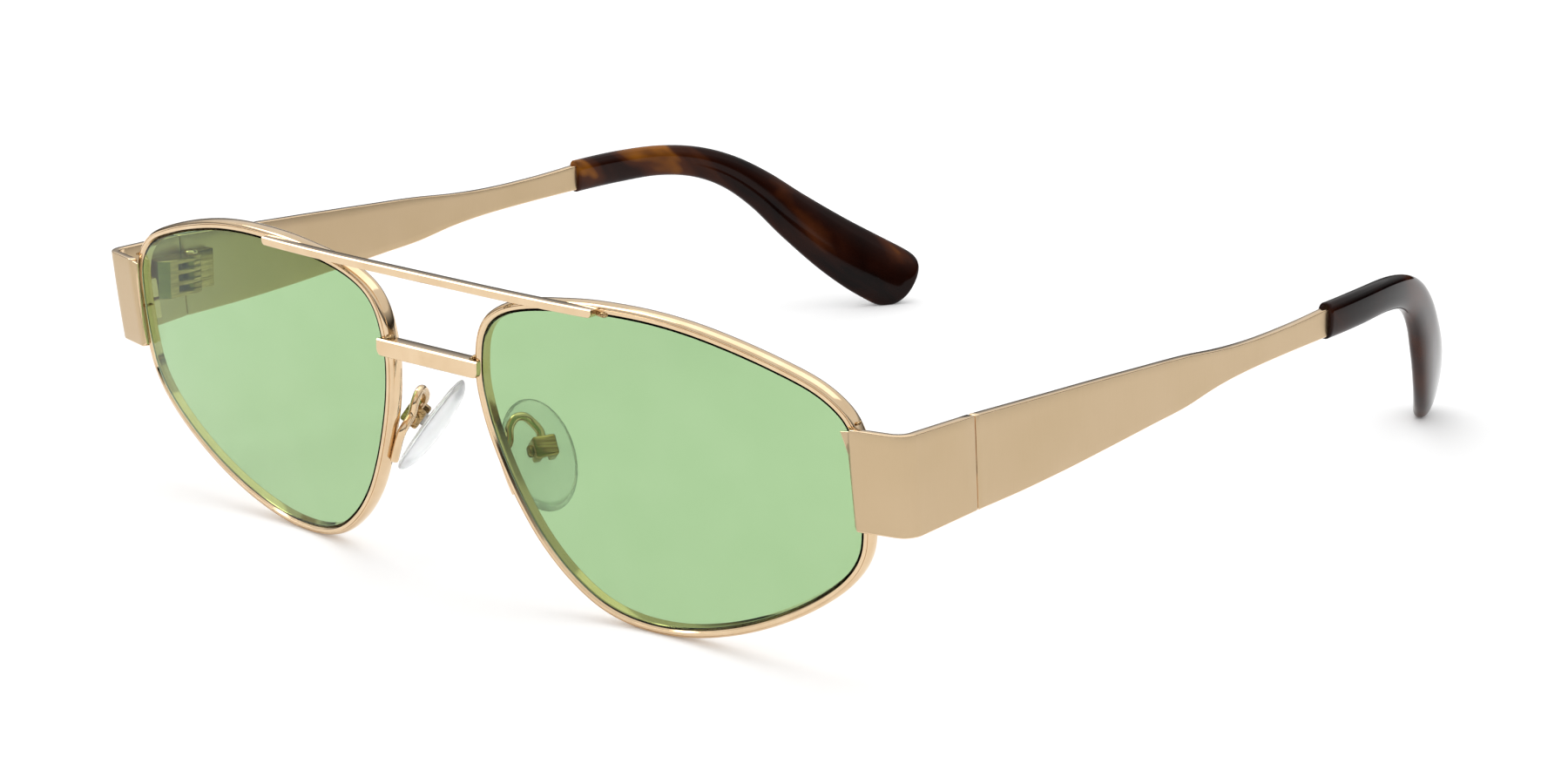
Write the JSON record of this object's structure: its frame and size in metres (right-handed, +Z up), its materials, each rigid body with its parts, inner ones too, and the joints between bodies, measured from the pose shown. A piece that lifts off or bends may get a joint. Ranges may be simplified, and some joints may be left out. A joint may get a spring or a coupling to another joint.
{
  "type": "aviator sunglasses",
  "caption": "Metal aviator sunglasses with green teardrop lenses, a brow bar, rocking nose pads and folding flat temples with dark acetate tips.",
  "frame": {"origin": "on the floor plane that the rim bottoms and the temple tips rest on, midway between the two sides and midway from front to back", "axes": "+X towards the wearer's left, +Y towards the temple tips (the lenses face -Y), +Z up; temples open"},
  "size_m": [0.138, 0.1589, 0.0416],
  "materials": {
    "polished_pale_gold": "polished pale gold plating on metal",
    "satin_pale_gold": "pale gold plating with a fine vertical brushing and polished edges",
    "green_lens": "light green tinted, smooth and clear",
    "clear_silicone": "clear, slightly milky, soft gloss",
    "dark_tortoise_acetate": "glossy dark brown tortoise, amber where thin"
  },
  "bodies": {
    "front": {"bridge": "polished_pale_gold", "brow_bar": "polished_pale_gold", "rim_L": "polished_pale_gold", "lens_L": "green_lens", "endpiece_L": "satin_pale_gold", "closing_block_upper_L": "polished_pale_gold", "closing_block_lower_L": "polished_pale_gold", "closing_screw_L": "polished_pale_gold", "hinge_front_L": "polished_pale_gold", "hinge_screw_L": "polished_pale_gold", "pad_arm_L": "polished_pale_gold", "pad_box_L": "polished_pale_gold", "pad_screw_L": "polished_pale_gold", "rim_R": "polished_pale_gold", "lens_R": "green_lens", "endpiece_R": "satin_pale_gold", "closing_block_upper_R": "polished_pale_gold", "closing_block_lower_R": "polished_pale_gold", "closing_screw_R": "polished_pale_gold", "hinge_front_R": "polished_pale_gold", "hinge_screw_R": "polished_pale_gold", "pad_arm_R": "polished_pale_gold", "pad_box_R": "polished_pale_gold", "pad_screw_R": "polished_pale_gold"},
    "temple_L": {"temple_L": "satin_pale_gold", "temple_tip_L": "dark_tortoise_acetate", "hinge_rear_L": "polished_pale_gold"},
    "temple_R": {"temple_R": "satin_pale_gold", "temple_tip_R": "dark_tortoise_acetate", "hinge_rear_R": "polished_pale_gold"},
    "pad_L": {"nose_pad_L": "clear_silicone"},
    "pad_R": {"nose_pad_R": "clear_silicone"}
  },
  "joints": [
    {"name": "temple_fold_L", "type": "hinge", "parent": "front", "child": "temple_L", "pos_m": [0.06626, -0.05749, 0.02554], "axis": [0, 0, 1], "range_deg": [0, 87]},
    {"name": "temple_fold_R", "type": "hinge", "parent": "front", "child": "temple_R", "pos_m": [-0.06626, -0.05749, 0.02554], "axis": [0, 0, -1], "range_deg": [0, 82]},
    {"name": "pad_rock_L", "type": "hinge", "parent": "front", "child": "pad_L", "pos_m": [0.01121, -0.06851, 0.01899], "axis": [-0.4426, -0.8949, -0.0572], "range_deg": [-8, 8]},
    {"name": "pad_rock_R", "type": "hinge", "parent": "front", "child": "pad_R", "pos_m": [-0.01121, -0.06851, 0.01899], "axis": [-0.4426, 0.8949, 0.0572], "range_deg": [-8, 8]}
  ]
}
